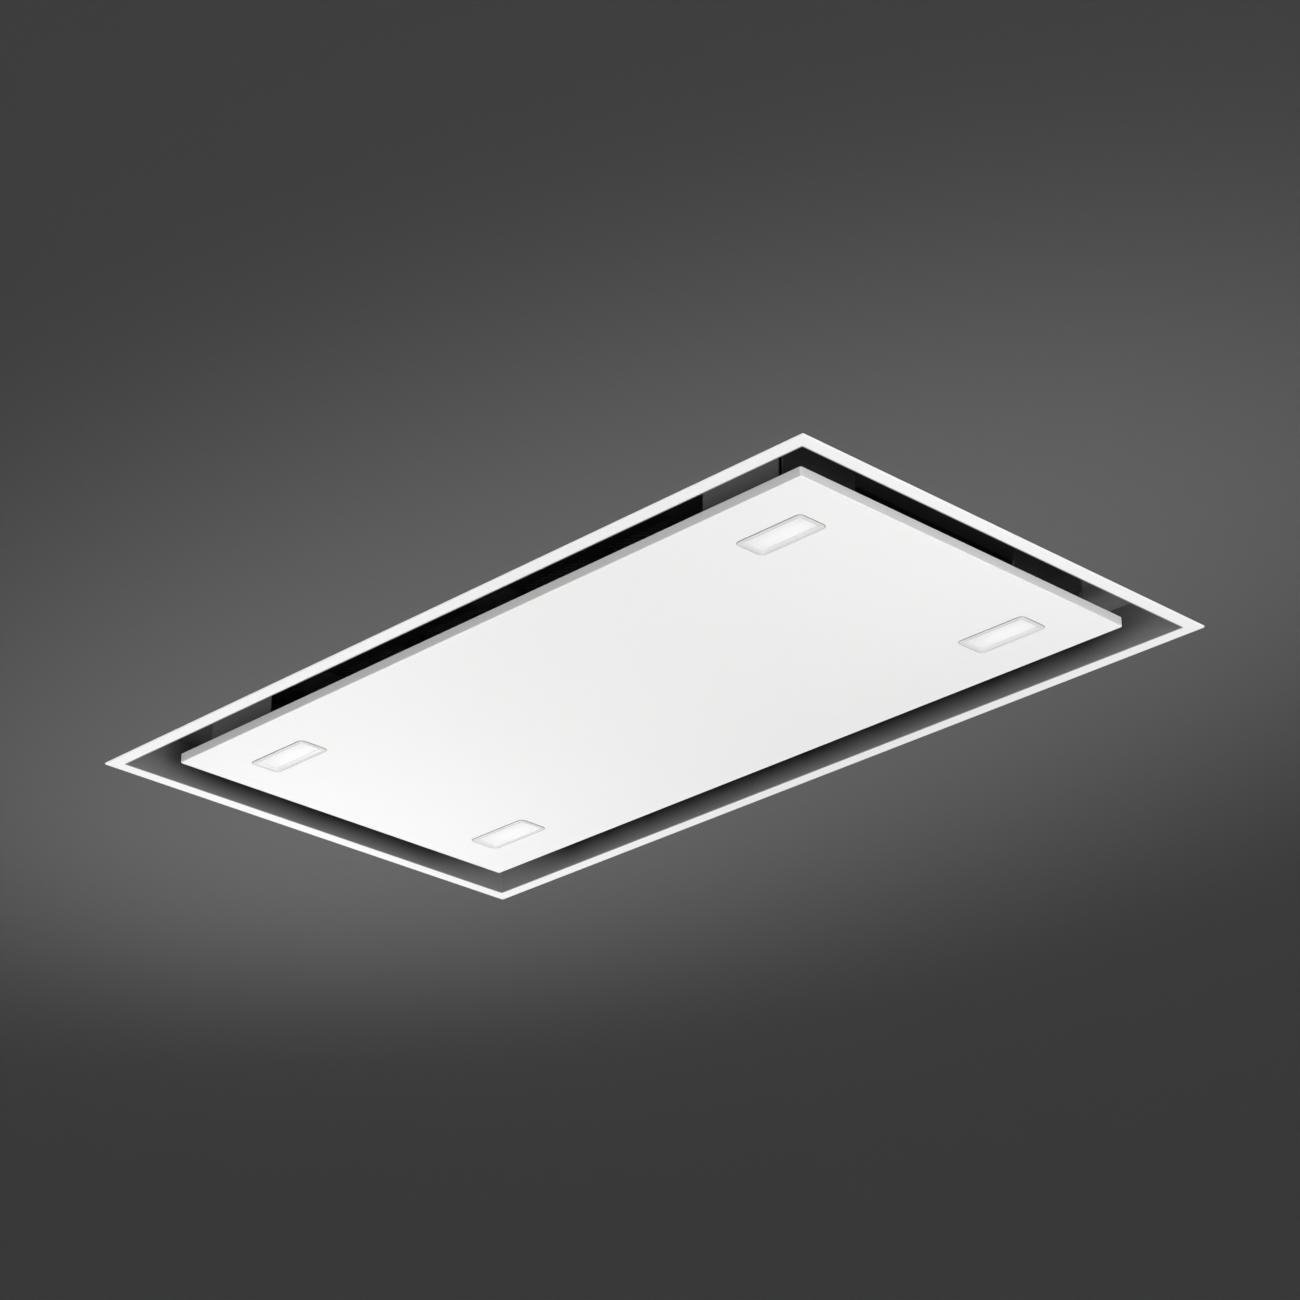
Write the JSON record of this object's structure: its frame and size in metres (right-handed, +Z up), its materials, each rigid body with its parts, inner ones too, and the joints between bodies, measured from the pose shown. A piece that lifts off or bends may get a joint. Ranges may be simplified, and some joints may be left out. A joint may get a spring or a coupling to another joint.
{
  "type": "ceiling range hood",
  "caption": "Ceiling range hood with perimeter suction: a hinged lamp panel in a recessed frame, grease filters with sprung latches, a centrifugal blower and a round duct spigot with flaps.",
  "frame": {"origin": "centre of the frame's visible lower face, in the plane of the finished ceiling", "axes": "+X along the long side towards the duct, +Y along the short side towards the panel's hinge, +Z up into the ceiling"},
  "size_m": [0.9, 0.5, 0.2245],
  "materials": {
    "white_paint": "satin white powder coat",
    "recess_steel": "fine brushed stainless, bright",
    "zinc_steel": "galvanised",
    "bright_steel": "bright zinc plate",
    "black_plastic": "fine moulded texture",
    "grey_plastic": "fine moulded texture",
    "motor_metal": "cast, as it left the die",
    "rubber": "matt",
    "aluminium": "mill finish",
    "filter_mesh": "expanded mesh layers",
    "bezel_plastic": "silver-white moulding",
    "lamp_lens": "opal diffuser"
  },
  "bodies": {
    "housing": {"blower_bushes": "rubber", "cable_gland": "grey_plastic", "capacitor": "aluminium", "casing_cover": "zinc_steel", "casing_screws": "bright_steel", "casing_shell": "zinc_steel", "catch_magnets": "black_plastic", "ceiling_frame": "white_paint", "control_box": "grey_plastic", "cover_screws": "bright_steel", "damper_pin": "bright_steel", "duct_collar": "black_plastic", "filter_core_1": "filter_mesh", "filter_core_2": "filter_mesh", "filter_core_3": "filter_mesh", "filter_frame_1": "aluminium", "filter_frame_2": "aluminium", "filter_frame_3": "aluminium", "filter_rail_front": "zinc_steel", "filter_rail_rear": "zinc_steel", "hanger_brackets": "zinc_steel", "hinge_leaves_fixed": "zinc_steel", "hinge_pins": "bright_steel", "inlet_plate": "recess_steel", "inlet_ring": "black_plastic", "junction_box": "black_plastic", "junction_lid": "black_plastic", "latch_keepers": "bright_steel", "led_driver": "grey_plastic", "motor_stator": "motor_metal", "outlet_adapter": "black_plastic", "recess_rim": "recess_steel", "scroll_cover": "zinc_steel", "scroll_housing": "zinc_steel"},
    "lamp_panel": {"hinge_leaves_moving": "zinc_steel", "hinge_mounts": "zinc_steel", "lamp_bezel_1": "bezel_plastic", "lamp_bezel_2": "bezel_plastic", "lamp_bezel_3": "bezel_plastic", "lamp_bezel_4": "bezel_plastic", "lamp_clips": "bright_steel", "lamp_housing_1": "aluminium", "lamp_housing_2": "aluminium", "lamp_housing_3": "aluminium", "lamp_housing_4": "aluminium", "lamp_lens_1": "lamp_lens", "lamp_lens_2": "lamp_lens", "lamp_lens_3": "lamp_lens", "lamp_lens_4": "lamp_lens", "panel_stiffeners": "zinc_steel", "panel_tray": "white_paint", "strike_plates": "zinc_steel"},
    "fan_rotor": {"impeller": "black_plastic", "rotor_can": "motor_metal"},
    "flap_left": {"damper_flap_left": "black_plastic"},
    "flap_right": {"damper_flap_right": "black_plastic"},
    "latch_1": {"filter_latch_1": "black_plastic"},
    "latch_2": {"filter_latch_2": "black_plastic"},
    "latch_3": {"filter_latch_3": "black_plastic"}
  },
  "joints": [
    {"name": "panel_hinge", "type": "hinge", "parent": "housing", "child": "lamp_panel", "pos_m": [0, 0.185, 0.0175], "axis": [1, 0, 0], "range_deg": [0, 90]},
    {"name": "fan_spin", "type": "hinge", "parent": "housing", "child": "fan_rotor", "pos_m": [0.06, 0.024, 0.13], "axis": [0, 0, 1], "continuous": true},
    {"name": "flap_left_hinge", "type": "hinge", "parent": "housing", "child": "flap_left", "pos_m": [0.366, -0.089, 0.131], "axis": [0, 0, -1], "range_deg": [0, 75], "stiffness_Nm_per_rad": 0.02, "springref_deg": -8.59},
    {"name": "flap_right_hinge", "type": "hinge", "parent": "housing", "child": "flap_right", "pos_m": [0.366, -0.089, 0.131], "axis": [0, 0, 1], "range_deg": [0, 75], "stiffness_Nm_per_rad": 0.02, "springref_deg": -8.59},
    {"name": "latch_1_slide", "type": "slide", "parent": "housing", "child": "latch_1", "axis": [0, 1, 0], "range_m": [0, 0.007], "stiffness_N_per_m": 400, "springref_m": -0.004},
    {"name": "latch_2_slide", "type": "slide", "parent": "housing", "child": "latch_2", "axis": [0, 1, 0], "range_m": [0, 0.007], "stiffness_N_per_m": 400, "springref_m": -0.004},
    {"name": "latch_3_slide", "type": "slide", "parent": "housing", "child": "latch_3", "axis": [0, 1, 0], "range_m": [0, 0.007], "stiffness_N_per_m": 400, "springref_m": -0.004}
  ]
}
